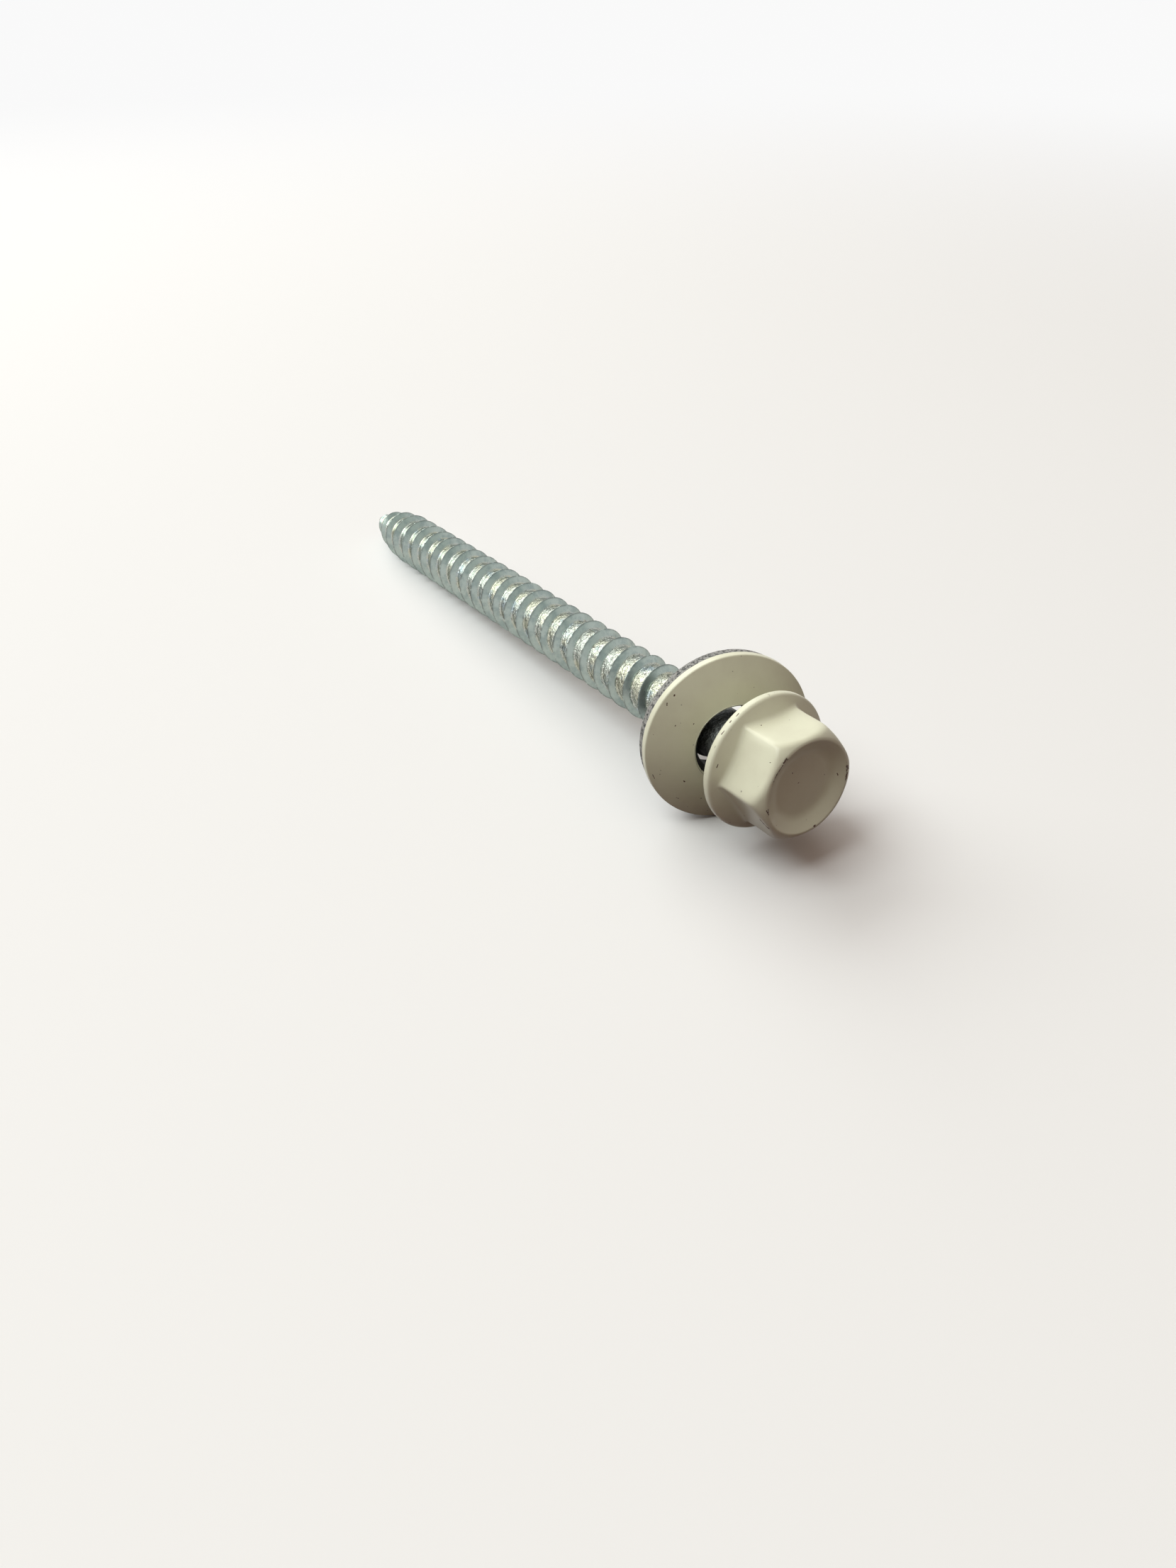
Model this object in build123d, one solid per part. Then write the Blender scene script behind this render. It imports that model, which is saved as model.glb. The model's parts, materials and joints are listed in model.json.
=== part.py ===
from build123d import *
import os
from math import cos, pi, radians, sin, sqrt, tan

# Painted hex head lag screw with a bonded sealing washer, lying as it comes to rest. Millimetres.
# The screw is drawn upright: the flange's widest circle is at zero, the head above it, the point below.

# Hex head
across_flats = 9.4
head_height = 5.75
head_turn = 31.7
corner_drop = 1.8
corner_edge_radius = 0.3
crown_diameter = 8.9
crown_bend = 0.55

# Dish pressed into the top of the head
dish_diameter = 8.6
dish_floor_diameter = 6.2
dish_depth = 0.75
dish_floor_blend = 0.4

# Flange forged in one with the head
flange_overhang = 0.92
flange_rim = 0.9
flange_rim_chamfer = 0.28
flange_slope = 24.0
flange_fillet = 0.5

# Plain neck under the flange
neck_diameter = 4.9
neck_length = 3.4
neck_flare = 0.4

# Spaced right-hand thread, rolled onto the shank
crest_diameter = 6.1
root_diameter = 4.6
pitch = 2.54
head_flank = 0.5
point_flank = 0.46
thread_turn = 60.0
run_in_turns = 0.6
run_out_turns = 0.5

# Point: the thread follows a pointed arch down to a blunt nose
shank_length = 77.7
point_length = 10.6
crest_end_diameter = 0.6
core_end_diameter = 0.5
thread_end_gap = 1.3
nose_bevel = 0.15
nose_lap = 0.04
nose_tuck = 0.3

# Domed washer plate
plate_diameter = 16.1
plate_thickness = 0.9
plate_hole_diameter = 7.3
plate_dome = 1.3
dome_bend = 0.4
plate_rim_chamfer = 0.28

# Sealing ring bonded to the back of the plate
ring_inset = 0.3
ring_mouth_diameter = 6.8
ring_bore_diameter = 7.9
ring_thickness = 1.2
ring_rim_chamfer = 0.35
ring_bore_chamfer = 0.4

# Where the loose washer stands on the shank: the middle of its hole, and how it leans
washer_back = 3.81
washer_drop = 0.1
washer_side = -0.2
washer_lean = 13.0
washer_nod = -0.75

# Drawing aids
samples_per_turn = 20
turn_nudge = 0.0001
match = 0.01
overcut = 1.0
steepest_rest = 15.0
halvings = 30

corner_radius = across_flats / sqrt(3)
flange_radius = corner_radius + flange_overhang
flange_half_rim = flange_rim / 2
bearing_z = -flange_half_rim
point_z = bearing_z - shank_length
neck_end_z = bearing_z - neck_length
thread_turns = int((neck_end_z - point_z - thread_end_gap) / pitch)
thread_end_z = neck_end_z - pitch * thread_turns
root_share = 1 - (head_flank + point_flank) / pitch
crest_share = 1 - point_flank / pitch

# Section of one pitch, from the head towards the point, as a share of the pitch and whether it is the crest
thread_section = [(0.0, False), (root_share, False), (crest_share, True), (1.0, False)]


def arch(distance, full_radius, end_radius):
    """Radius at a distance from the end of the point, on a parabolic arch."""
    share = min(max(distance / point_length, 0.0), 1.0)
    return end_radius + (full_radius - end_radius) * (1 - (1 - share) ** 2)


def turned(outline):
    """Solid of revolution from an outline in radius and height."""
    return revolve(Plane.XZ * outline, Axis.Z)


def hexagon():
    """Hex prism bevelled in two steps by a crown, with soft corners."""
    outline = RegularPolygon(across_flats / 2, 6, major_radius=False, rotation=head_turn)
    prism = extrude(fillet(outline.vertices(), corner_edge_radius), head_height)
    shoulder = (corner_radius, head_height - corner_drop)
    rim = (crown_diameter / 2, head_height)
    bend = TangentArc(shoulder, rim, tangent=(0, 1)) @ crown_bend
    side = Polyline((0, 0), (corner_radius, 0), shoulder, bend, rim, (0, head_height), close=True)
    return prism & turned(make_face(side))


def dish():
    """Hollow in the top of the head: a sloping wall that runs softly into a flat floor."""
    floor_z = head_height - dish_depth
    corner = (dish_floor_diameter / 2, floor_z)
    rim = (dish_diameter / 2, head_height)
    top_z = head_height + overcut
    outline = make_face(Polyline((0, floor_z), corner, rim, (rim[0], top_z), (0, top_z), close=True))
    bend = outline.vertices().sort_by_distance(corner)[0]
    return turned(chamfer(bend, dish_floor_blend))


def flange():
    """Disc with a bevelled rim and a top that rises gently towards the hexagon."""
    peak_z = flange_half_rim + flange_radius * tan(radians(flange_slope))
    corners = [(0, bearing_z), (flange_radius, bearing_z), (flange_radius, flange_half_rim), (0, peak_z)]
    outline = make_face(Polyline(*corners, close=True))
    return turned(chamfer(outline.vertices().sort_by(Axis.X)[2:], flange_rim_chamfer))


def head():
    """Hexagon and flange in one, with the sweep between them and the dish in the top."""
    body = flange() + hexagon()
    foot_top = flange_half_rim + (flange_radius - across_flats / 2) * tan(radians(flange_slope))
    foot = [e for e in body.edges() if flange_half_rim + match < e.center().Z < foot_top + match]
    return fillet(foot, flange_fillet) - dish()


def neck():
    """Plain shank from the flange to one turn past the start of the thread."""
    below = neck_end_z - pitch
    return Pos(0, 0, below) * extrude(Circle(neck_diameter / 2), -below)


def core_radius(z):
    """Radius of the screw between the ridges."""
    return arch(z - point_z, root_diameter / 2, core_end_diameter / 2)


def ridge_radius(turn, z):
    """Radius of the ridge's edge, which grows out of the core at one end and sinks back at the other."""
    growth = max(0.0, min(1.0, turn / run_in_turns, (thread_turns - turn) / run_out_turns))
    eased = growth * growth * (3 - 2 * growth)
    full = arch(z - point_z, crest_diameter / 2, crest_end_diameter / 2)
    return core_radius(z) + (full - core_radius(z)) * eased


def thread_point(turn, share, on_crest):
    """Point of the thread's surface, some turns from its start and a share of the pitch further down."""
    z = neck_end_z - pitch * (turn + share)
    radius = ridge_radius(turn, z) if on_crest else core_radius(z)
    angle = radians(thread_turn) - 2 * pi * turn
    return Vector(radius * cos(angle), radius * sin(angle), z)


def thread_curve(turn, share, on_crest):
    """One turn of a helix on the thread's surface, which runs smoothly into the next turn."""
    steps = [i / samples_per_turn for i in range(samples_per_turn + 1)]
    points = [thread_point(turn + step, share, on_crest) for step in steps]
    ends = []
    for end in (turn, turn + 1):
        before = thread_point(end - turn_nudge, share, on_crest)
        after = thread_point(end + turn_nudge, share, on_crest)
        ends.append((after - before) / (2 * turn_nudge))
    return Edge.make_spline(points, tangents=ends, parameters=steps, scale=False)


def thread_end(turn):
    """The two faces that close the thread inside the neck or the nose: a ramp and a wall."""
    top = Vector(0, 0, neck_end_z - pitch * turn)
    bottom = top - Vector(0, 0, pitch)
    ramp = Face.make_surface_from_curves(Edge.make_line(top, bottom), thread_curve(turn, 0.0, False))
    section = [thread_point(turn, share, on_crest) for share, on_crest in thread_section]
    wall = Face(Wire(Polyline(top, *section, bottom, close=True).edges()))
    return [ramp, wall]


def thread():
    """Threaded length as one solid, ruled turn by turn between helices that narrow at the point."""
    faces = thread_end(0) + thread_end(thread_turns)
    for turn in range(thread_turns):
        helices = [thread_curve(turn, share, on_crest) for share, on_crest in thread_section]
        for upper, lower in zip(helices, helices[1:]):
            faces.append(Face.make_surface_from_curves(upper, lower))
    return Solid(Shell(faces))


def nose():
    """Blunt end of the point: a bevelled tip, then cones laid just over the end of the thread's core."""
    heights = [point_z, (point_z + thread_end_z) / 2, thread_end_z]
    side = [(core_radius(z) + nose_lap, z) for z in heights]
    inside = (side[-1][0] - nose_tuck, thread_end_z + nose_tuck)
    outline = make_face(Polyline((0, point_z), *side, inside, (0, inside[1]), close=True))
    tip = outline.vertices().sort_by_distance(side[0])[0]
    return turned(chamfer(tip, nose_bevel))


def screw():
    """Head, neck, thread and nose, forged and rolled from one blank."""
    shank = head() + neck()
    circles = shank.edges().filter_by(GeomType.CIRCLE)
    corner = [e for e in circles if abs(e.radius - neck_diameter / 2) < match]
    corner = [e for e in corner if abs(e.center().Z - bearing_z) < match]
    return chamfer(corner, neck_flare) + thread() + nose()


hole_edge = plate_hole_diameter / 2
plate_rim = plate_diameter / 2
bend_radius = (hole_edge + plate_rim) / 2


def dome(radius, down=0.0):
    """Point of the dome's outline at a radius, some way under the plate's upper face."""
    share = (radius - hole_edge) / (plate_rim - hole_edge)
    drop = max(2 * dome_bend * share, 1 - 2 * (1 - dome_bend) * (1 - share))
    return (radius, -plate_dome * drop - down)


def dome_line(inner, outer, down=0.0):
    """Outline of the dome between two radii: a flat cone, then a steeper one."""
    return Polyline(dome(inner, down), dome(bend_radius, down), dome(outer, down))


def washer_plate():
    """Domed steel plate with a round hole and a bevelled rim."""
    upper = dome_line(hole_edge, plate_rim)
    lower = dome_line(hole_edge, plate_rim, plate_thickness)
    bore = Line(dome(hole_edge), dome(hole_edge, plate_thickness))
    side = Line(dome(plate_rim), dome(plate_rim, plate_thickness))
    outline = make_face(upper + lower + bore + side)
    return turned(chamfer(outline.vertices().sort_by(Axis.X)[-2:], plate_rim_chamfer))


def sealing_ring():
    """Soft ring that fills the dome behind the plate, flat at the back, with a bore that widens backwards."""
    mouth, outer = ring_mouth_diameter / 2, plate_rim - ring_inset
    back_z = -plate_dome - plate_thickness - ring_thickness
    rim, bore_end = (outer, back_z), (ring_bore_diameter / 2, back_z)
    upper = dome_line(mouth, outer, plate_thickness)
    rest = Polyline(dome(outer, plate_thickness), rim, bore_end, dome(mouth, plate_thickness))
    outline = make_face(upper + rest)
    outline = chamfer(outline.vertices().sort_by_distance(rim)[0], ring_rim_chamfer)
    return turned(chamfer(outline.vertices().sort_by_distance(bore_end)[0], ring_bore_chamfer))


washer_place = Pos(washer_drop, washer_side, -washer_back) * Rot(washer_lean, washer_nod, 0)
washer_normal = (washer_place * Plane.XY).z_dir


def plate_reach(down):
    """How far the plate's rim reaches in a direction from the middle of the flange."""
    rim_z = -plate_dome - plate_thickness + plate_rim_chamfer
    middle = (washer_place * Pos(0, 0, rim_z)).position
    return middle.dot(down) + plate_rim * sqrt(1 - washer_normal.dot(down) ** 2)


def thread_reach(down):
    """How far the thread's crest reaches in a direction from the middle of the flange."""
    steps = range(thread_turns * samples_per_turn)
    return max(thread_point(i / samples_per_turn, crest_share, True).dot(down) for i in steps)


def rest_slope():
    """Slope at which the washer's rim and the thread touch the same flat surface, by halving."""
    low, high = 0.0, steepest_rest
    for _ in range(halvings):
        slope = (low + high) / 2
        down = Vector(cos(radians(slope)), 0, -sin(radians(slope)))
        if plate_reach(down) > thread_reach(down):
            low = slope
        else:
            high = slope
    return slope


pieces = {
    "screw": screw(),
    "washer_plate": washer_place * washer_plate(),
    "sealing_ring": washer_place * sealing_ring(),
}
slope = rest_slope()
laid = {name: Rot(0, 90 - slope, 0) * piece for name, piece in pieces.items()}
box = Compound(list(laid.values())).bounding_box()
seat = Pos(-box.center().X, -box.center().Y, -box.min.Z)

os.makedirs("parts", exist_ok=True)
for name, piece in laid.items():
    export_step(seat * piece, f"parts/{name}.step")
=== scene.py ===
"""Dresses a painted hex head lag screw and its loose sealing washer, lying on a pale studio floor."""

import json
import logging
import math
from dataclasses import dataclass, field
from enum import Enum

import bmesh
import bpy
import numpy as np
from mathutils import Euler, Matrix, Vector


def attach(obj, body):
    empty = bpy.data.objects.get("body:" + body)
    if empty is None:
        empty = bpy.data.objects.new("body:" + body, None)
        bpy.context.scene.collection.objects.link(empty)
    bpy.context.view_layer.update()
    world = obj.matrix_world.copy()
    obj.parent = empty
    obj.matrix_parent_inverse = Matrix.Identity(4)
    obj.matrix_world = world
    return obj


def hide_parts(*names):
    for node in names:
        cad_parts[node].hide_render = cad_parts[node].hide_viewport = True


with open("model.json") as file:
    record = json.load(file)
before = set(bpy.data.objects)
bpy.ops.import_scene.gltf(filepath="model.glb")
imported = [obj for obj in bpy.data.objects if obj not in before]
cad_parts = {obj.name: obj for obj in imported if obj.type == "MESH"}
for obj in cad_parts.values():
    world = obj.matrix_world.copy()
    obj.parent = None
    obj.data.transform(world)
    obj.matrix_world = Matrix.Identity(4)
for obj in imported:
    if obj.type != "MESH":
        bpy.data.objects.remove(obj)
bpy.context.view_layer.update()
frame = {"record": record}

MM = 0.001
PHOTO_HEIGHT_PX = 2212
RAGGED_SIZE = 0.22 * MM
RAGGED_SHARE = 1.3
STROKE_SOFTNESS = 0.12
JOIN_DISTANCE = 0.0005 * MM
Colour = tuple[float, float, float]
Corner = tuple[float, float, float]
log = logging.getLogger("lag_screw")


class Body(Enum):
    """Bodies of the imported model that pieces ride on."""

    SCREW = "screw"
    WASHER = "washer"


class Slot(Enum):
    """Material slots of the record."""

    ZINC = "zinc_steel"
    PAINT = "cream_paint"
    RUBBER = "black_rubber"


class Mark(Enum):
    """Values stored on a mesh's points for its finish to read."""

    PLACE = "place"
    EDGE = "edge"
    HEIGHT = "height"
    # Painted shade: a dark line painted along the thread's crest.
    CREST_SHADE = "crest_shade"
    REACH = "reach"


@dataclass(frozen=True)
class Stroke:
    """A scratch or chip between two places, each by angle in degrees, radius and height. Millimetres."""

    first: tuple[float, float, float]
    last: tuple[float, float, float]
    width: float

    def start(self) -> Vector:
        """Where it starts, in the piece's own frame."""
        return self._at(*self.first)

    def end(self) -> Vector:
        """Where it ends."""
        return self._at(*self.last)

    @staticmethod
    def _at(angle: float, radius: float, height: float) -> Vector:
        """Point at an angle, radius and height."""
        turn = math.radians(angle)
        return Vector((radius * math.cos(turn), radius * math.sin(turn), height))


class Number:
    """A number in a shader. Arithmetic on it adds Math nodes."""

    def __init__(self, graph: "Graph", socket: bpy.types.NodeSocket) -> None:
        """Wraps one output socket of a graph."""
        self.graph = graph
        self.socket = socket

    def _math(self, operation: str, first: "Number | float", second: "Number | float") -> "Number":
        """Adds a Math node on two numbers."""
        return self.graph.add("ShaderNodeMath", {"operation": operation}, {0: first, 1: second})

    def __add__(self, other: "Number | float") -> "Number":
        """Sum."""
        return self._math("ADD", self, other)

    def __sub__(self, other: "Number | float") -> "Number":
        """Difference."""
        return self._math("SUBTRACT", self, other)

    def __rsub__(self, other: float) -> "Number":
        """Difference from a plain number."""
        return self._math("SUBTRACT", other, self)

    def __mul__(self, other: "Number | float") -> "Number":
        """Product."""
        return self._math("MULTIPLY", self, other)

    __radd__ = __add__
    __rmul__ = __mul__

    def most(self, other: "Number | float") -> "Number":
        """The larger of two numbers."""
        return self._math("MAXIMUM", self, other)

    def clamped(self) -> "Number":
        """The number, held between 0 and 1."""
        return self.graph.add("ShaderNodeClamp", inputs={0: self})

    def between(self, low: float, high: float) -> "Number":
        """Rises smoothly from 0 at low to 1 at high, or falls where low is the larger.

        Args:
            low: value that gives 0.
            high: value that gives 1.

        Returns:
            The eased share between the two.
        """
        settings = {"interpolation_type": "SMOOTHSTEP"}
        if low < high:
            return self.graph.add("ShaderNodeMapRange", settings, {0: self, 1: low, 2: high, 3: 0.0, 4: 1.0})
        return self.graph.add("ShaderNodeMapRange", settings, {0: self, 1: high, 2: low, 3: 1.0, 4: 0.0})


class Graph:
    """The nodes of one material or world."""

    def __init__(self, tree: bpy.types.NodeTree) -> None:
        """Empties a node tree to build in it."""
        self.tree = tree
        tree.nodes.clear()

    def add(self, kind: str, settings: dict | None = None, inputs: dict | None = None,
            output: int | str = 0) -> Number:
        """Adds a node.

        Args:
            kind: the node's type.
            settings: its properties.
            inputs: values or links of its sockets, by name or number.
            output: the output to hand back.

        Returns:
            The chosen output, for arithmetic or links.
        """
        node = self.tree.nodes.new(kind)
        for name, value in (settings or {}).items():
            setattr(node, name, value)
        for name, value in (inputs or {}).items():
            if isinstance(value, Number):
                self.tree.links.new(value.socket, node.inputs[name])
            else:
                node.inputs[name].default_value = value
        return Number(self, node.outputs[output]) if node.outputs else Number(self, None)

    def place(self) -> Number:
        """Place on the piece, in its own frame."""
        return self.add("ShaderNodeAttribute", {"attribute_name": Mark.PLACE.value}, output="Vector")

    def vector(self, operation: str, first: Number | Vector, second: Number | Vector = Vector(),
               output: str = "Vector") -> Number:
        """Adds a Vector Math node, whose second value is a number for a scaling."""
        slot = 3 if operation == "SCALE" else 1
        return self.add("ShaderNodeVectorMath", {"operation": operation}, {0: first, slot: second}, output)

    def stroke(self, scratch: "Stroke") -> Number:
        """A scratch with ragged edges.

        Args:
            scratch: where it starts and ends, and how wide it is.

        Returns:
            1 in the scratch and 0 outside.
        """
        start, run = scratch.start() * MM, (scratch.end() - scratch.start()) * MM
        from_start = self.vector("SUBTRACT", self.place(), start)
        along = self.vector("DOT_PRODUCT", from_start, run / run.length_squared, "Value").clamped()
        off = self.vector("SUBTRACT", from_start, self.vector("SCALE", run, along))
        width = scratch.width * MM
        ragged = (self.noise(RAGGED_SIZE, 3.0, 0.6) - 0.5) * (width * RAGGED_SHARE)
        distance = self.vector("LENGTH", off, output="Value") + ragged
        return distance.between(width * (0.5 + STROKE_SOFTNESS), width * (0.5 - STROKE_SOFTNESS))

    def strokes(self, scratches: tuple["Stroke", ...]) -> Number | float:
        """All of a piece's scratches together, 1 inside them."""
        shown = 0.0
        for scratch in scratches:
            shown = self.stroke(scratch).most(shown)
        return shown

    def mark(self, mark: Mark) -> Number:
        """Value stored on the mesh under a mark's name."""
        return self.add("ShaderNodeAttribute", {"attribute_name": mark.value}, output="Fac")

    def noise(self, size: float, detail: float = 3.0, rough: float = 0.55, turn: float = 0.0) -> Number:
        """Soft noise.

        Args:
            size: size of its blobs in metres.
            detail: how many finer layers it has.
            rough: how strong the finer layers are.
            turn: moves the pattern, so that two noises differ.

        Returns:
            Noise about 0.5.
        """
        moved = self.vector("ADD", self.place(), Vector((turn, turn, turn)))
        inputs = {"Vector": moved, "Scale": 1 / size, "Detail": detail, "Roughness": rough}
        return self.add("ShaderNodeTexNoise", inputs=inputs)

    def specks(self, spacing: float, radius: float, turn: float = 0.0) -> Number:
        """Small round specks, scattered unevenly.

        Args:
            spacing: mean distance between specks in metres.
            radius: radius of the largest in metres.
            turn: moves the pattern.

        Returns:
            1 in a speck and 0 outside.
        """
        moved = self.vector("ADD", self.place(), Vector((turn, turn, turn)))
        inputs = {"Vector": moved, "Scale": 1 / spacing}
        away = self.add("ShaderNodeTexVoronoi", inputs=inputs, output="Distance")
        return away.between(radius / spacing, 0.4 * radius / spacing)

    def mix(self, share: Number | float, first: Number | Colour, second: Number | Colour,
            blend: str = "MIX") -> Number:
        """Mixes two colours.

        Args:
            share: 0 gives the first and 1 the second.
            first: a colour or a link.
            second: a colour or a link.
            blend: how the second colour acts on the first.

        Returns:
            The mixed colour.
        """
        colours = [c if isinstance(c, Number) else (*c, 1.0) for c in (first, second)]
        settings = {"data_type": "RGBA", "blend_type": blend}
        return self.add("ShaderNodeMix", settings, {0: share, 6: colours[0], 7: colours[1]}, output=2)

    def relief(self, height: Number, depth: float, under: Number | None = None) -> Number:
        """Normal of a surface with small relief.

        Args:
            height: height of the relief from 0 to 1.
            depth: depth of the relief in metres.
            under: a coarser relief below this one.

        Returns:
            The normal.
        """
        inputs = {"Height": height, "Distance": depth, "Strength": 1.0}
        if under is not None:
            inputs["Normal"] = under
        return self.add("ShaderNodeBump", inputs=inputs)


def new_material(name: str) -> tuple[bpy.types.Material, Graph]:
    """Makes an empty material and the graph that fills it."""
    material = bpy.data.materials.new(name)
    material.use_nodes = True
    return material, Graph(material.node_tree)


@dataclass(frozen=True)
class CreamPaint:
    """Satin cream paint over brown primer, with orange peel, dark specks and chipped edges."""

    scratches: tuple[Stroke, ...] = ()
    colour: Colour = (0.80, 0.82, 0.65)
    shade: Colour = (0.75, 0.76, 0.60)
    primer: Colour = (0.10, 0.055, 0.035)
    grime: Colour = (0.16, 0.14, 0.10)
    cloud_size: float = 3.5 * MM
    roughness: float = 0.28
    roughness_spread: float = 0.16
    chip_roughness: float = 0.3
    coat: float = 0.2
    coat_roughness: float = 0.08
    speck_spacing: float = 1.9 * MM
    speck_radius: float = 0.11 * MM
    fine_spacing: float = 1.1 * MM
    fine_radius: float = 0.06 * MM
    grime_share: float = 0.75
    chip_size: float = 0.35 * MM
    chip_levels: tuple[float, float] = (0.50, 0.56)
    chip_depth: float = 0.03 * MM
    peel_size: float = 0.9 * MM
    peel_depth: float = 0.012 * MM

    def material(self) -> bpy.types.Material:
        """Builds the paint."""
        material, graph = new_material("cream_paint_finish")
        cloud = graph.noise(self.cloud_size, 4.0).between(0.35, 0.7)
        paint = graph.mix(cloud, self.colour, self.shade)
        fine = graph.specks(self.fine_spacing, self.fine_radius, turn=0.05)
        specks = graph.specks(self.speck_spacing, self.speck_radius).most(fine)
        grain = graph.noise(self.chip_size, 5.0, 0.7)
        worn_edge = (graph.mark(Mark.EDGE) * grain).between(*self.chip_levels)
        chipped = worn_edge.most(graph.strokes(self.scratches))
        dirty = graph.mix(specks * self.grime_share, paint, self.grime)
        colour = graph.mix(chipped, dirty, self.primer)
        satin = graph.noise(1.2 * MM, 3.0) * self.roughness_spread + self.roughness
        rough = satin + chipped * self.chip_roughness
        peel = graph.noise(self.peel_size, 2.0, 0.5)
        normal = graph.relief(peel - specks * 0.6, self.peel_depth)
        normal = graph.relief(1.0 - chipped, self.chip_depth, normal)
        shader = graph.add("ShaderNodeBsdfPrincipled", inputs={
            "Base Color": colour, "Roughness": rough, "Normal": normal, "IOR": 1.4,
            "Coat Weight": self.coat, "Coat Roughness": self.coat_roughness})
        graph.add("ShaderNodeOutputMaterial", inputs={"Surface": shader})
        return material


@dataclass(frozen=True)
class BrightZinc:
    """Bright zinc plating: satin flanks, pitted roots with dark mottling and painted shade, a painted shade
    line along the crest, and painted shade on the neck near the head.
    """

    flank: Colour = (0.40, 0.46, 0.425)
    flank_dull: Colour = (0.25, 0.31, 0.30)
    root: Colour = (0.46, 0.48, 0.44)
    warm: Colour = (0.53, 0.51, 0.38)
    cool: Colour = (0.30, 0.39, 0.46)
    # Near-black used for the root mottling with painted root shade, and for the painted shade line along the
    # crest.
    dark_mottle_and_shade: Colour = (0.03, 0.022, 0.02)
    # Darker grey painted on the neck near the head as shade, under the flange and inside the washer's hole.
    wear_and_neck_shade: Colour = (0.22, 0.23, 0.225)
    root_heights: tuple[float, float] = (0.30, 0.04)
    rough_reach: tuple[float, float] = (75 * MM, 20 * MM)
    neck_shade_reach: tuple[float, float] = (9.0 * MM, 5.5 * MM)
    mottle_size: float = 0.38 * MM
    # Strength of the dark line painted along the crest as shade.
    crest_shade_strength: float = 0.9
    pit_size: float = 0.34 * MM
    grain_size: float = 0.12 * MM
    pit_depth: float = 0.045 * MM
    roughness: float = 0.24

    def material(self) -> bpy.types.Material:
        """Builds the plating."""
        material, graph = new_material("bright_zinc_finish")
        height = graph.mark(Mark.HEIGHT)
        low = height.between(*self.root_heights)
        reach = graph.mark(Mark.REACH)
        near_head = reach.between(*self.rough_reach)
        wear_and_neck_shade = reach.between(*self.neck_shade_reach)
        tint = graph.noise(2.2 * MM, 3.0).between(0.42, 0.62)
        tinted = graph.mix(tint * 0.6, self.root, self.warm)
        other = graph.noise(1.6 * MM, 3.0, turn=0.03).between(0.52, 0.68)
        tinted = graph.mix(other * 0.6, tinted, self.cool)
        dull = graph.noise(1.1 * MM, 4.0, 0.65, turn=0.11).between(0.42, 0.66)
        colour = graph.mix(low, graph.mix(dull * 0.7, self.flank, self.flank_dull), tinted)
        mottled = graph.noise(self.mottle_size, 4.0, 0.7, turn=0.07).between(0.52, 0.66)
        # Darkens the roots in blotches, most near the head: partly the zinc's own mottling, partly painted
        # shade in the recessed roots.
        mottle_and_root_shade = mottled * low * (near_head * 0.6 + 0.4)
        # A dark, broken line painted along the crest: painted shade.
        crest_shade = graph.mark(Mark.CREST_SHADE) * graph.noise(0.5 * MM, 3.0).between(0.36, 0.5)
        colour = graph.mix(mottle_and_root_shade * 0.7, colour, self.dark_mottle_and_shade)
        colour = graph.mix(crest_shade * self.crest_shade_strength, colour, self.dark_mottle_and_shade)
        # Painted shade: the neck darker near the head, fading out between 5.5 and 9 mm below the flange's
        # middle.
        colour = graph.mix(wear_and_neck_shade, colour, self.wear_and_neck_shade)
        pits = graph.noise(self.pit_size, 3.0, 0.6).between(0.36, 0.64)
        fine = graph.noise(self.grain_size, 3.0, 0.6)
        relief = pits * low * (near_head * 0.85 + 0.15) + fine * 0.2
        normal = graph.relief(relief, self.pit_depth)
        rough = low * -0.06 + self.roughness + fine * 0.10 + crest_shade * 0.3 + wear_and_neck_shade * 0.2
        shader = graph.add("ShaderNodeBsdfPrincipled", inputs={
            "Base Color": colour, "Roughness": rough, "Normal": normal, "Metallic": 1.0})
        graph.add("ShaderNodeOutputMaterial", inputs={"Surface": shader})
        return material


@dataclass(frozen=True)
class BlackRubber:
    """Matt black rubber, with a dusty, granular edge."""

    colour: Colour = (0.022, 0.023, 0.024)
    dust: Colour = (0.42, 0.42, 0.41)
    grain_size: float = 0.28 * MM
    grain_depth: float = 0.10 * MM
    dust_levels: tuple[float, float] = (0.40, 0.54)
    dust_share: float = 0.8

    def material(self) -> bpy.types.Material:
        """Builds the rubber."""
        material, graph = new_material("black_rubber_finish")
        grain = graph.noise(self.grain_size, 5.0, 0.75)
        dusty = (grain * graph.mark(Mark.EDGE)).between(*self.dust_levels)
        colour = graph.mix(dusty * self.dust_share, self.colour, self.dust)
        normal = graph.relief(grain, self.grain_depth)
        shader = graph.add("ShaderNodeBsdfPrincipled", inputs={
            "Base Color": colour, "Roughness": 0.75 - grain * 0.25, "Normal": normal, "IOR": 1.5})
        graph.add("ShaderNodeOutputMaterial", inputs={"Surface": shader})
        return material


@dataclass(frozen=True)
class Seat:
    """Where a piece's own frame lies in the row frame: its origin, and its axis towards the head."""

    origin: Vector
    axis: Vector

    def matrix(self) -> Matrix:
        """Matrix from the piece's own frame, whose Z is the axis, to the row frame."""
        across = Vector((0, 1, 0)).cross(self.axis).normalized()
        turn = Matrix((across, self.axis.cross(across), self.axis)).transposed()
        return Matrix.Translation(self.origin) @ turn.to_4x4()

    def along(self, distance: float) -> "Seat":
        """The same seat, moved along its axis."""
        return Seat(self.origin + self.axis * distance, self.axis)


def mount(name: str) -> tuple[Vector, Vector]:
    """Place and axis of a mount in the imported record."""
    found = next(m for m in frame["record"]["mounts"] if m["name"] == name)
    return Vector(found["pos_m"]), Vector(found["axis"])


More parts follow.
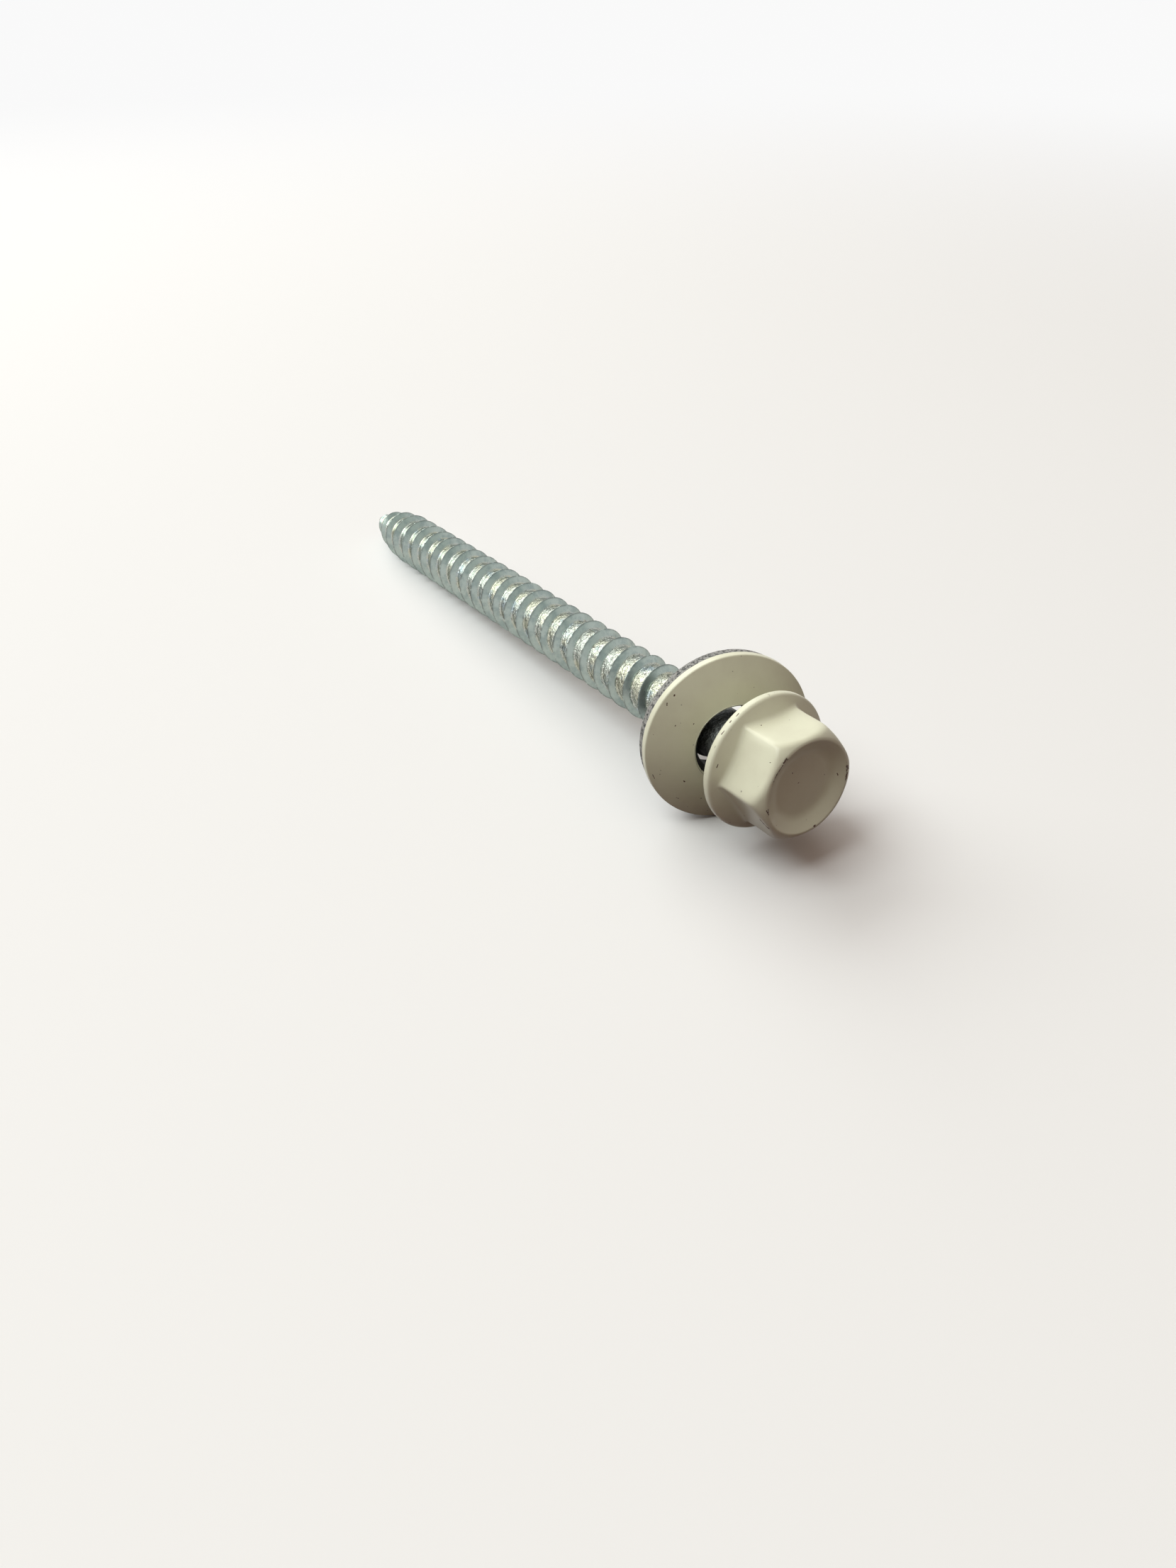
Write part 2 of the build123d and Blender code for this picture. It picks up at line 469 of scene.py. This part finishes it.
def rounded(corners: list[Corner], steps: int = 6, spacing: float = 0.6) -> np.ndarray:
    """Outline through corners, each rounded by its own radius, with its straight runs divided.

    Args:
        corners: radius, height and rounding of each corner, in millimetres.
        steps: points on each rounding.
        spacing: greatest distance between points of a straight run.

    Returns:
        Points of the outline.
    """
    points = [np.array(corners[0][:2], float)]

    def run_to(end: np.ndarray) -> None:
        """Adds evenly spaced points up to the end of a straight run."""
        start = points[-1]
        count = max(1, math.ceil(float(np.linalg.norm(end - start)) / spacing))
        points.extend(start + (end - start) * k / count for k in range(1, count + 1))

    for before, corner, after in zip(corners, corners[1:], corners[2:]):
        here = np.array(corner[:2], float)
        back = np.array(before[:2]) - here
        ahead = np.array(after[:2]) - here
        back, ahead = back / np.linalg.norm(back), ahead / np.linalg.norm(ahead)
        half = math.acos(float(np.clip(back @ ahead, -1, 1))) / 2
        setback = corner[2] / math.tan(half)
        run_to(here + back * setback)
        middle = (back + ahead) / np.linalg.norm(back + ahead)
        centre = here + middle * corner[2] / math.sin(half)
        first = here + back * setback - centre
        last = here + ahead * setback - centre
        sweep = math.pi - 2 * half
        for k in range(1, steps + 1):
            share = k / steps
            arc = (first * math.sin((1 - share) * sweep) + last * math.sin(share * sweep)) / math.sin(sweep)
            points.append(centre + arc)
    run_to(np.array(corners[-1][:2], float))
    return np.array(points)


def spun(profile: np.ndarray, segments: int) -> np.ndarray:
    """Grid of points of an outline turned about the Z axis.

    Args:
        profile: radius and height of each point, in millimetres.
        segments: points on a full turn.

    Returns:
        Points by turn and by place along the outline.
    """
    angle = np.linspace(0, 2 * math.pi, segments, endpoint=False)[:, None]
    radius, height = profile[None, :, 0], profile[None, :, 1]
    return np.stack([radius * np.cos(angle), radius * np.sin(angle), height + 0 * angle], axis=2)


@dataclass
class Skin:
    """A surface as a grid of points in millimetres, with values stored on them."""

    name: str
    points: np.ndarray
    marks: dict[Mark, np.ndarray]
    closed: bool = True

    def piece(self, seat: Seat, body: Body, nodes: list[str], slot: Slot,
              material: bpy.types.Material) -> bpy.types.Object:
        """Makes the surface a piece of the model.

        Args:
            seat: where it lies.
            body: the body that it rides on.
            nodes: the solids that it stands for.
            slot: the record's slot of its finish; not used.
            material: its finish.

        Returns:
            The new object.
        """
        rows, columns = self.points.shape[:2]
        index = np.arange(rows * columns).reshape(rows, columns)
        ahead = np.roll(index, -1, axis=0) if self.closed else index[1:]
        start = index if self.closed else index[:-1]
        quads = np.stack([start[:, :-1], ahead[:, :-1], ahead[:, 1:], start[:, 1:]], axis=-1).reshape(-1, 4)
        mesh = bpy.data.meshes.new(self.name)
        places = (self.points.reshape(-1, 3) * MM).astype(np.float32)
        mesh.from_pydata(places.tolist(), [], quads.tolist())
        own_place = mesh.attributes.new(Mark.PLACE.value, "FLOAT_VECTOR", "POINT")
        own_place.data.foreach_set("vector", places.ravel())
        for mark, values in self.marks.items():
            stored = mesh.attributes.new(mark.value, "FLOAT", "POINT")
            everywhere = np.broadcast_to(values, (rows, columns)).astype(np.float32)
            stored.data.foreach_set("value", everywhere.ravel())
        self._clean(mesh)
        mesh.transform(seat.matrix())
        mesh.materials.append(material)
        mesh.shade_smooth()
        made = bpy.data.objects.new(self.name, mesh)
        bpy.context.scene.collection.objects.link(made)
        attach(made, body.value)
        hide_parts(*nodes)
        log.info("%s: %d faces on %s", self.name, len(mesh.polygons), body.value)
        return made

    @staticmethod
    def _clean(mesh: bpy.types.Mesh) -> None:
        """Joins points that lie together, such as poles and seams, and turns the faces outwards."""
        work = bmesh.new()
        work.from_mesh(mesh)
        bmesh.ops.remove_doubles(work, verts=work.verts, dist=JOIN_DISTANCE)
        bmesh.ops.dissolve_degenerate(work, edges=work.edges, dist=JOIN_DISTANCE / 5)
        bmesh.ops.recalc_face_normals(work, faces=work.faces)
        work.to_mesh(mesh)
        work.free()


@dataclass
class Head:
    """Hexagon with a crowned, dished top on a round flange. Sizes in millimetres."""

    across_flats: float = 9.4
    height: float = 5.75
    turn: float = 31.7
    corner_drop: float = 1.8
    corner_radius: float = 0.34
    crown_diameter: float = 8.9
    edge_softness: float = 0.34
    dish_radius: float = 4.3
    floor_radius: float = 3.1
    dish_depth: float = 0.75
    floor_blend: float = 1.5
    lip_radius: float = 0.2
    flange_radius: float = 6.35
    flange_half_rim: float = 0.45
    flange_slope: float = 24.0
    flange_fillet: float = 0.55
    rim_radius: float = 0.36
    flat_steps: int = 42
    corner_steps: int = 10
    corner_zone: float = 2.6
    crown_gap: float = 0.06
    lip_wear_width: float = 0.16
    rim_wear_width: float = 0.25
    rim_wear: float = 0.8
    worn_stretches: tuple[tuple[float, float], ...] = (
        (-134.0, 20.0), (88.0, 16.0), (-80.0, 6.0), (12.0, 5.0))

    def angles(self) -> np.ndarray:
        """Angles round the head, close together at the corners of the hexagon."""
        flat = np.linspace(self.corner_zone, 60 - self.corner_zone, self.flat_steps, endpoint=False)
        corner = np.linspace(-self.corner_zone, self.corner_zone, self.corner_steps, endpoint=False)
        sector = np.concatenate([corner, flat])
        return np.radians(np.concatenate([self.turn + 60 * k + sector for k in range(6)]))

    def side(self, angle: np.ndarray) -> np.ndarray:
        """Radius of the hexagon at an angle, with its corners rounded."""
        off_corner = np.radians((np.degrees(angle) - self.turn + 30) % 60 - 30)
        apothem = self.across_flats / 2
        flat = apothem / np.cos(math.radians(30) - np.abs(off_corner))
        centre = (apothem - self.corner_radius) / math.cos(math.radians(30))
        inside = np.maximum(self.corner_radius**2 - (centre * np.sin(off_corner)) ** 2, 0)
        arc = centre * np.cos(off_corner) + np.sqrt(inside)
        limit = math.atan2(self.corner_radius * 0.5, centre + self.corner_radius * math.cos(math.radians(30)))
        return np.where(np.abs(off_corner) < limit, arc, flat)

    def crown(self, z: np.ndarray) -> np.ndarray:
        """Radius of the crown that rounds the hexagon over at a height."""
        widest = self.across_flats / math.sqrt(3)
        inset = widest - self.crown_diameter / 2
        radius = (inset**2 + self.corner_drop**2) / (2 * inset)
        over = np.maximum(z - (self.height - self.corner_drop), 0)
        return widest - radius + np.sqrt(radius**2 - over**2)

    def wear(self, angle: np.ndarray) -> np.ndarray:
        """How far the paint has worn off the dish's lip at an angle, from 0.7 to 1.25."""
        wear_and_neck_shade = np.full_like(angle, 0.7)
        for middle, spread in self.worn_stretches:
            off = (np.degrees(angle) - middle + 180) % 360 - 180
            wear_and_neck_shade = np.maximum(wear_and_neck_shade, 0.7 + 0.55 * np.exp(-((off / spread) ** 2)))
        return wear_and_neck_shade

    def flange_top(self, radius: np.ndarray) -> np.ndarray:
        """Height of the flange's sloping top at a radius."""
        rise = math.tan(math.radians(self.flange_slope))
        return self.flange_half_rim + (self.flange_radius - radius) * rise

    def skin(self) -> Skin:
        """Builds the head, from the middle of the dish over the crown and flange to the middle below."""
        angle = self.angles()
        side = self.side(angle)
        rim_z = self.height - self.crown_gap
        crown_rim = (float(self.crown(np.array(rim_z))), rim_z, 0.0)
        floor_z = self.height - self.dish_depth
        top = rounded([(0, floor_z, 0), (self.floor_radius, floor_z, self.floor_blend),
                       (self.dish_radius, self.height, self.lip_radius), crown_rim], 9, 0.3)[:-1]
        heights = np.concatenate([np.linspace(rim_z, 3.9, 40), np.linspace(3.8, 2.2, 7)])
        gap = side[:, None] - self.crown(heights)[None, :]
        meet = np.maximum(self.edge_softness - np.abs(gap), 0) ** 2 / (4 * self.edge_softness)
        wall = np.minimum(side[:, None], self.crown(heights)[None, :]) - meet
        slope = math.radians(self.flange_slope)
        centre_r = side + self.flange_fillet
        centre_z = self.flange_top(centre_r) + self.flange_fillet / math.cos(slope)
        bend = np.linspace(math.pi, 1.5 * math.pi - slope, 9)
        foot_r = centre_r[:, None] + self.flange_fillet * np.cos(bend)
        foot_z = centre_z[:, None] + self.flange_fillet * np.sin(bend)
        edge = rounded([(self.flange_radius - 0.5, float(self.flange_top(self.flange_radius - 0.5)), 0),
                        (self.flange_radius, self.flange_half_rim, self.rim_radius),
                        (self.flange_radius, -self.flange_half_rim, self.rim_radius),
                        (0, -self.flange_half_rim, 0)], 7, 0.5)
        share = np.linspace(0, 1, 6)[None, 1:-1]
        slope_r = foot_r[:, -1:] + (edge[0, 0] - foot_r[:, -1:]) * share
        ones = np.ones((len(angle), 1))
        radius = np.concatenate([ones * top[:, 0], wall, foot_r, slope_r, ones * edge[:, 0]], axis=1)
        height = np.concatenate([ones * top[:, 1], ones * heights, foot_z, self.flange_top(slope_r),
                                 ones * edge[:, 1]], axis=1)
        points = np.stack([radius * np.cos(angle)[:, None], radius * np.sin(angle)[:, None], height], axis=2)
        off_lip = (radius - self.dish_radius) ** 2 + (height - rim_z) ** 2
        lip = np.exp(-off_lip / self.lip_wear_width**2) * self.wear(angle)[:, None]
        rim = np.exp(-((radius - self.flange_radius) ** 2) / self.rim_wear_width**2)
        return Skin("screw_head", points, {Mark.EDGE: np.maximum(lip, rim * self.rim_wear)})


@dataclass
class Shank:
    """Neck, spaced right-hand thread and point, as one sheared grid that follows the helix. Millimetres."""

    bearing: float = -0.45
    neck_radius: float = 2.45
    neck_length: float = 3.4
    neck_flare: float = 0.4
    length: float = 77.7
    crest_radius: float = 3.05
    root_radius: float = 2.3
    pitch: float = 2.54
    head_flank: float = 0.5
    point_flank: float = 0.46
    crest_width: float = 0.09
    root_fillet: float = 0.22
    turn: float = 60.0
    run_in: float = 0.6
    run_out: float = 0.5
    end_gap: float = 1.3
    point_length: float = 10.6
    core_end: float = 0.25
    crest_end: float = 0.3
    nose_radius: float = 0.3
    # Where and how wide the dark line painted along the crest as shade lies.
    crest_shade_offset: float = 0.01
    crest_shade_width: float = 0.05
    steps_per_turn: int = 60

    def arch(self, z: np.ndarray, full: float, end: float) -> np.ndarray:
        """Radius of the pointed arch at a height."""
        share = np.clip((z - self.point_z) / self.point_length, 0, 1)
        return end + (full - end) * (1 - (1 - share) ** 2)

    @property
    def point_z(self) -> float:
        """Height of the tip."""
        return self.bearing - self.length

    @property
    def neck_end(self) -> float:
        """Height where the thread starts."""
        return self.bearing - self.neck_length

    def section(self) -> np.ndarray:
        """Section of one pitch: place in millimetres from the head side, and height from 0 to 1."""
        rise = self.pitch - self.head_flank - self.point_flank
        depth = self.crest_radius - self.root_radius
        crest = self.pitch - self.point_flank
        outline = rounded([
            (0, 0, 0), (rise, 0, self.root_fillet), (crest - self.crest_width / 2, depth, 0.035),
            (crest + self.crest_width / 2, depth, 0.035), (self.pitch, 0, 0)], 4, 0.18)
        return np.stack([outline[:, 0], outline[:, 1] / depth], axis=1)

    def skin(self) -> Skin:
        """Builds the shank along its helix."""
        section = self.section()
        top_z = self.bearing + 0.05
        turns = (self.neck_end - self.point_z - self.end_gap) // self.pitch
        first = (self.neck_end - top_z) / self.pitch - 1.02
        last = (self.neck_end - self.point_z) / self.pitch
        turn = np.linspace(first, last, int((last - first) * self.steps_per_turn))[:, None]
        z = self.neck_end - self.pitch * turn - section[None, :, 0]
        growth = np.clip(np.minimum(turn / self.run_in, (turns - turn) / self.run_out), 0, 1)
        growth = growth * growth * (3 - 2 * growth)
        core = self.arch(z, self.root_radius, self.core_end)
        crest = self.arch(z, self.crest_radius, self.crest_end)
        height = section[None, :, 1] * growth
        radius = core + (crest - core) * height
        neck = np.where(z > self.neck_end - self.pitch, self.neck_radius, 0)
        neck = neck + np.clip(z - self.bearing + self.neck_flare, 0, self.neck_flare)
        radius = np.maximum(radius, neck)
        off_tip = np.clip(z - self.point_z, 0, self.nose_radius)
        nose = np.sqrt(np.maximum(self.nose_radius**2 - (self.nose_radius - off_tip) ** 2, 0))
        radius = np.where(off_tip < self.nose_radius, np.minimum(radius, nose), radius)
        radius = np.where((z > top_z) | (z < self.point_z), 0, radius)
        z = np.clip(z, self.point_z, top_z)
        angle = math.radians(self.turn) - 2 * math.pi * turn
        points = np.stack([radius * np.cos(angle), radius * np.sin(angle), z], axis=2)
        # Painted shade: a dark line along the crest, stored for the zinc finish.
        crest_at = self.pitch - self.point_flank - self.crest_shade_offset
        crest_shade = np.exp(-(((section[None, :, 0] - crest_at) / self.crest_shade_width) ** 2)) * growth
        marks = {Mark.HEIGHT: height, Mark.CREST_SHADE: crest_shade, Mark.REACH: -z * MM}
        return Skin("screw_shank", points, marks, closed=False)


@dataclass
class WasherPlate:
    """Domed steel plate with a hole and a rolled rim. Millimetres from the middle of the hole's edge."""

    radius: float = 7.99
    hole_radius: float = 3.65
    dome: float = 1.3
    thickness: float = 0.9
    rim_radius: float = 0.18
    hole_rounding: float = 0.16
    steps: int = 40

    def height(self, radius: float) -> float:
        """Height of the upper face at a radius."""
        centre = (self.radius**2 + self.dome**2 - self.hole_radius**2) / (2 * self.dome)
        return math.sqrt(centre**2 + self.hole_radius**2 - radius**2) - centre

    def skin(self) -> Skin:
        """Builds the plate as an outline that runs over the top, round the rim and back below."""
        radii = np.linspace(self.hole_radius, self.radius, self.steps)
        upper = [(r, self.height(r), 0.0) for r in radii]
        lower = [(r, self.height(r) - self.thickness, 0.0) for r in radii[::-1]]
        corners = self._corners(upper, lower)
        profile = rounded(corners, 8, 0.12)
        radius, z = profile[:, 0], profile[:, 1]
        edge = np.exp(-((radius - self.radius) ** 2) / 0.3**2)
        hole = np.exp(-((radius - self.hole_radius) ** 2) / 0.15**2)
        return Skin("washer_cap", spun(profile, 200), {Mark.EDGE: np.maximum(edge * 0.7, hole)[None, :]})

    def _corners(self, upper: list[Corner], lower: list[Corner]) -> list[Corner]:
        """The closed outline's corners, with the rim and the hole's edges rounded."""
        faces = upper[1:-1] + [(*upper[-1][:2], self.rim_radius), (*lower[0][:2], self.rim_radius)]
        faces += lower[1:-1] + [(*lower[-1][:2], self.hole_rounding), (*upper[0][:2], self.hole_rounding)]
        smooth = [(r, z, rounding or 0.01) for r, z, rounding in faces]
        return [*smooth, smooth[0]]


@dataclass
class SealingRing:
    """Soft ring behind the plate, flat at the back, with a bore that follows the shank. Millimetres."""

    radius: float = 7.78
    mouth_radius: float = 3.2
    bore_radius: float = 3.15
    thickness: float = 1.2
    rim_rounding: float = 0.4
    bore_rounding: float = 0.3

    def skin(self, plate: WasherPlate, shank: Seat) -> Skin:
        """Builds the ring under a plate, with its soft bore pushed round the leaning shank.

        Args:
            plate: the plate that it is bonded to.
            shank: the screw's origin and axis in the washer's own frame, in metres.

        Returns:
            The ring's surface.
        """
        back = -plate.dome - plate.thickness - self.thickness
        radii = np.linspace(self.mouth_radius, self.radius, 16)
        upper = [(r, plate.height(r) - plate.thickness, 0.01) for r in radii]
        upper[0] = (*upper[0][:2], 0.15)
        corners = upper[1:-1] + [(*upper[-1][:2], 0.1), (self.radius, back, self.rim_rounding),
                                 (self.bore_radius, back, self.bore_rounding), upper[0]]
        profile = rounded([*corners, corners[0]], 6, 0.35)
        edge = np.exp(-((profile[:, 0] - self.radius) ** 2) / 0.8**2)
        points = spun(profile, 200)
        inward = (self.radius - profile[:, 0]) / (self.radius - self.bore_radius)
        pushed = np.clip(inward, 0, 1)[None, :, None]
        lean = np.array(shank.axis)[:2] / shank.axis.z
        centre = np.array(shank.origin)[:2] / MM + lean * (points[..., 2:] - shank.origin.z / MM)
        points[..., :2] += centre * pushed
        return Skin("sealing_ring_soft", points, {Mark.EDGE: edge[None, :]})


@dataclass(frozen=True)
class Lamp:
    """A soft rectangular lamp that points at the middle of the screw. Metres and watts."""

    name: str
    place: tuple[float, float, float]
    size: tuple[float, float]
    power: float
    colour: Colour

    def hang(self) -> None:
        """Adds the lamp to the scene."""
        data = bpy.data.lights.new(self.name, "AREA")
        data.shape = "RECTANGLE"
        data.size, data.size_y = self.size
        data.energy = self.power
        data.color = self.colour
        lamp = bpy.data.objects.new(self.name, data)
        lamp.location = self.place
        lamp.rotation_euler = (-Vector(self.place)).to_track_quat("-Z", "Y").to_euler()
        bpy.context.scene.collection.objects.link(lamp)


@dataclass
class Studio:
    """Camera, lamps, floor and background. Metres."""

    camera_place: Vector = field(default_factory=lambda: Vector((102.667, -61.354, 70.090)) * MM)
    camera_turn: tuple[float, float, float] = (54.374, 0.142, 57.042)
    focal_px: float = 1772.78
    sensor_width: float = 36.0
    floor_reach: float = 3.0
    floor_fade: tuple[float, float] = (0.12, 0.5)
    floor_pale: Colour = (0.87, 0.89, 0.92)
    floor_bounce: Colour = (0.07, 0.03, 0.02)
    ambient: Colour = (0.40, 0.31, 0.25)
    ambient_low: Colour = (0.05, 0.02, 0.012)
    background: Colour = (0.95, 0.95, 0.95)
    ceiling: Colour = (0.66, 0.72, 0.69)
    ceiling_rise: tuple[float, float] = (0.45, 0.65)
    ambient_rise: tuple[float, float] = (0.15, 0.95)
    lamps: tuple[Lamp, ...] = (
        Lamp("window", (-0.85, -0.20, 0.70), (1.5, 0.90), 11.5, (0.98, 1.0, 0.95)),
        Lamp("overhead", (-0.06, -0.56, 0.92), (0.60, 0.60), 5.4, (0.96, 1.0, 0.96)))

    def build(self) -> None:
        """Sets the whole studio up."""
        self._camera()
        self._floor()
        self._world()
        for lamp in self.lamps:
            lamp.hang()
        bpy.context.scene.view_settings.view_transform = "Standard"

    def _camera(self) -> None:
        """Places the camera where the photograph was taken from."""
        data = bpy.data.cameras.new("camera")
        data.sensor_width = self.sensor_width
        data.lens = self.focal_px * self.sensor_width / PHOTO_HEIGHT_PX
        data.clip_start = 0.005
        camera = bpy.data.objects.new("camera", data)
        camera.location = self.camera_place
        camera.rotation_euler = Euler([math.radians(a) for a in self.camera_turn])
        bpy.context.scene.collection.objects.link(camera)
        bpy.context.scene.camera = camera

    def _seen(self, graph: Graph) -> Number:
        """1 for rays that show the background: from the camera, and in reflections and glass."""
        rays = {name: graph.add("ShaderNodeLightPath", output=name)
                for name in ("Is Camera Ray", "Is Glossy Ray", "Is Transmission Ray")}
        return rays["Is Camera Ray"].most(rays["Is Glossy Ray"]).most(rays["Is Transmission Ray"])

    def _floor(self) -> None:
        """Lays the floor that the screw rests on, and fades it into the background far from the screw."""
        mesh = bpy.data.meshes.new("floor")
        reach = self.floor_reach
        corners = [(-reach, -reach, 0), (reach, -reach, 0), (reach, reach, 0), (-reach, reach, 0)]
        mesh.from_pydata(corners, [], [(0, 1, 2, 3)])
        floor = bpy.data.objects.new("floor", mesh)
        bpy.context.scene.collection.objects.link(floor)
        material, graph = new_material("floor_finish")
        colour = graph.mix(self._seen(graph), self.floor_bounce, self.floor_pale)
        shader = graph.add("ShaderNodeBsdfDiffuse", inputs={"Color": colour})
        place = graph.add("ShaderNodeNewGeometry", output="Position")
        away = graph.vector("LENGTH", place, output="Value")
        far = away.between(*self.floor_fade) * self._seen(graph)
        plain = graph.add("ShaderNodeEmission", inputs={"Color": (*self.background, 1.0), "Strength": 1.0})
        shader = graph.add("ShaderNodeMixShader", inputs={0: far, 1: shader, 2: plain})
        graph.add("ShaderNodeOutputMaterial", inputs={"Surface": shader})
        mesh.materials.append(material)

    def _world(self) -> None:
        """A pale background with a dimmer ceiling, and a low even light."""
        world = bpy.data.worlds.new("studio")
        world.use_nodes = True
        bpy.context.scene.world = world
        graph = Graph(world.node_tree)
        direction = graph.add("ShaderNodeTexCoord", output="Generated")
        upward = graph.add("ShaderNodeSeparateXYZ", inputs={0: direction}, output="Z")
        room = graph.mix(upward.between(*self.ceiling_rise), self.background, self.ceiling)
        ambient = graph.mix(upward.between(*self.ambient_rise), self.ambient_low, self.ambient)
        colour = graph.mix(self._seen(graph), ambient, room)
        shader = graph.add("ShaderNodeBackground", inputs={"Color": colour, "Strength": 1.0})
        graph.add("ShaderNodeOutputWorld", inputs={"Surface": shader})


HEAD_SCRATCHES = (
    Stroke((-67.0, 4.75, 4.95), (-61.0, 4.70, 5.08), 0.22),
    Stroke((-61.0, 4.70, 5.08), (-55.0, 4.70, 5.40), 0.18),
    Stroke((-146.0, 4.45, 5.72), (-141.0, 4.40, 5.75), 0.16),
    Stroke((-138.0, 4.32, 5.74), (-131.0, 4.18, 5.67), 0.14),
    Stroke((-130.0, 4.15, 5.66), (-112.0, 4.05, 5.60), 0.06),
    Stroke((-83.0, 4.45, 5.73), (-76.0, 4.30, 5.73), 0.09),
    Stroke((93.0, 4.45, 5.73), (97.0, 4.42, 5.73), 0.14),
    Stroke((84.0, 4.28, 5.72), (88.0, 4.35, 5.74), 0.12),
    Stroke((85.0, 3.66, 5.35), (88.0, 3.60, 5.32), 0.08),
    Stroke((12.0, 4.26, 5.73), (14.0, 4.26, 5.73), 0.10),
    Stroke((-144.0, 1.93, 5.00), (-142.0, 1.85, 5.00), 0.06),
    Stroke((-129.0, 0.50, 5.00), (-120.0, 0.55, 5.00), 0.05),
    Stroke((-109.0, 5.81, 0.67), (-106.0, 5.85, 0.66), 0.08),
    Stroke((-160.5, 4.94, 1.50), (-160.0, 4.94, 1.55), 0.08),
    Stroke((-134.0, 4.84, 5.01), (-133.5, 4.86, 4.92), 0.07),
    Stroke((-152.0, 6.33, 0.15), (-149.5, 6.33, 0.18), 0.11),
    Stroke((-144.0, 6.34, 0.10), (-142.5, 6.34, 0.12), 0.09),
    Stroke((-135.0, 6.33, 0.17), (-131.5, 6.33, 0.14), 0.10),
    Stroke((-122.0, 6.33, 0.16), (-120.5, 6.33, 0.18), 0.08))

PLATE_SCRATCHES = (
    Stroke((-137.0, 7.52, -1.11), (-136.6, 7.50, -1.10), 0.12),
    Stroke((-129.8, 7.59, -1.14), (-128.6, 7.50, -1.10), 0.10),
    Stroke((-127.0, 4.69, -0.25), (-126.4, 4.69, -0.25), 0.09),
    Stroke((-118.0, 6.03, -0.59), (-117.4, 6.03, -0.59), 0.09),
    Stroke((-59.2, 5.50, -0.44), (-57.6, 5.48, -0.43), 0.11),
    Stroke((-48.0, 7.06, -0.96), (-46.2, 7.00, -0.94), 0.10),
    Stroke((-75.5, 7.61, -1.15), (-72.0, 7.58, -1.14), 0.05))


@dataclass
class LagScrew:
    """The screw and its washer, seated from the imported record."""

    drive_height: float = 3.0 * MM
    seal_offset: float = 6.0 * MM
    head: Head = field(default_factory=Head)
    shank: Shank = field(default_factory=Shank)
    plate: WasherPlate = field(default_factory=WasherPlate)
    ring: SealingRing = field(default_factory=SealingRing)

    def screw_seat(self) -> Seat:
        """Seat of the screw: the middle of the flange, from the mount on its hexagon."""
        place, axis = mount("hex_drive")
        return Seat(place, axis).along(-self.drive_height)

    def washer_seat(self) -> Seat:
        """Seat of the washer: the middle of its hole, from the mount on its sealing face."""
        place, outward = mount("sealing_face")
        axis = -outward
        up = (Vector((0, 0, 1)) - axis * axis.z).normalized()
        back = self.plate.dome + self.plate.thickness + self.ring.thickness
        return Seat(place - up * self.seal_offset, axis).along(back * MM)

    def build(self) -> None:
        """Builds and dresses every piece."""
        head_paint = CreamPaint(HEAD_SCRATCHES).material()
        plate_paint = CreamPaint(PLATE_SCRATCHES).material()
        zinc = BrightZinc().material()
        rubber = BlackRubber().material()
        screw, washer = self.screw_seat(), self.washer_seat()
        self.head.skin().piece(screw, Body.SCREW, ["screw"], Slot.PAINT, head_paint)
        self.shank.skin().piece(screw, Body.SCREW, ["screw"], Slot.ZINC, zinc)
        self.plate.skin().piece(washer, Body.WASHER, ["washer_plate"], Slot.PAINT, plate_paint)
        into_washer = washer.matrix().inverted()
        shank = Seat(into_washer @ screw.origin, into_washer.to_3x3() @ screw.axis)
        self.ring.skin(self.plate, shank).piece(washer, Body.WASHER, ["sealing_ring"], Slot.RUBBER, rubber)


def main() -> None:
    """Builds the screw and the studio around it."""
    logging.basicConfig(level=logging.INFO, format="%(name)s %(message)s")
    LagScrew().build()
    Studio().build()


if __name__ == "__main__":
    main()
